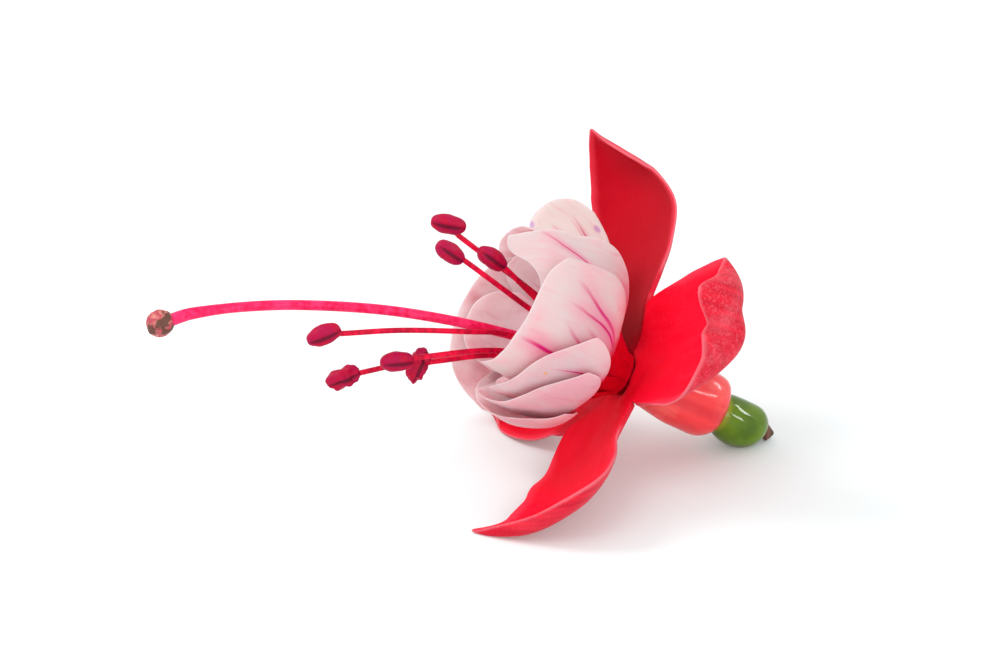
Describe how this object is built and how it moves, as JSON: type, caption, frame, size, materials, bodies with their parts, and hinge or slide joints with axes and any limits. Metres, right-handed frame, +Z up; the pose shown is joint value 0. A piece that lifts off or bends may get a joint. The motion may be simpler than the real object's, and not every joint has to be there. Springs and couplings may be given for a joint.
{
  "type": "double fuchsia flower",
  "caption": "Picked double fuchsia flower lying on its side, with spread red sepals, a pale swirled corolla, drooping stamens, a long style and a green ovary.",
  "frame": {"origin": "middle of the bounding box's underside, on the flat surface that the flower rests on", "axes": "+X runs along the flower's length from the stigma towards the ovary, +Z up, +Y away from the side where the front sepal comes down"},
  "size_m": [0.0824, 0.0428, 0.0379],
  "materials": {
    "calyx_tube": "satin",
    "ovary": "gloss",
    "pedicel_stub": "matte",
    "sepals": "satin",
    "petals": "satin",
    "filaments": "satin",
    "anthers": "matte",
    "style": "satin",
    "stigma": "matte"
  },
  "bodies": {
    "root": {"calyx_tube": "calyx_tube", "ovary": "ovary", "pedicel_stub": "pedicel_stub", "sepal_upper": "sepals", "sepal_near": "sepals", "sepal_front": "sepals", "sepal_back": "sepals", "petal_front": "petals", "petal_low_first": "petals", "petal_low_second": "petals", "petal_low_third": "petals", "petal_far": "petals", "petal_upper": "petals", "petal_upper_front": "petals", "petal_top": "petals", "petal_inner_upper": "petals", "petal_inner_far": "petals", "petal_inner_low": "petals", "petal_inner_near": "petals", "filament_1": "filaments", "anther_1": "anthers", "filament_2": "filaments", "anther_2": "anthers", "filament_3": "filaments", "anther_3": "anthers", "filament_4": "filaments", "anther_4": "anthers", "filament_5": "filaments", "anther_5": "anthers", "filament_6": "filaments", "anther_6": "anthers", "filament_7": "filaments", "anther_7": "anthers", "filament_8": "filaments", "anther_8": "anthers", "style": "style", "stigma": "stigma"}
  },
  "joints": []
}
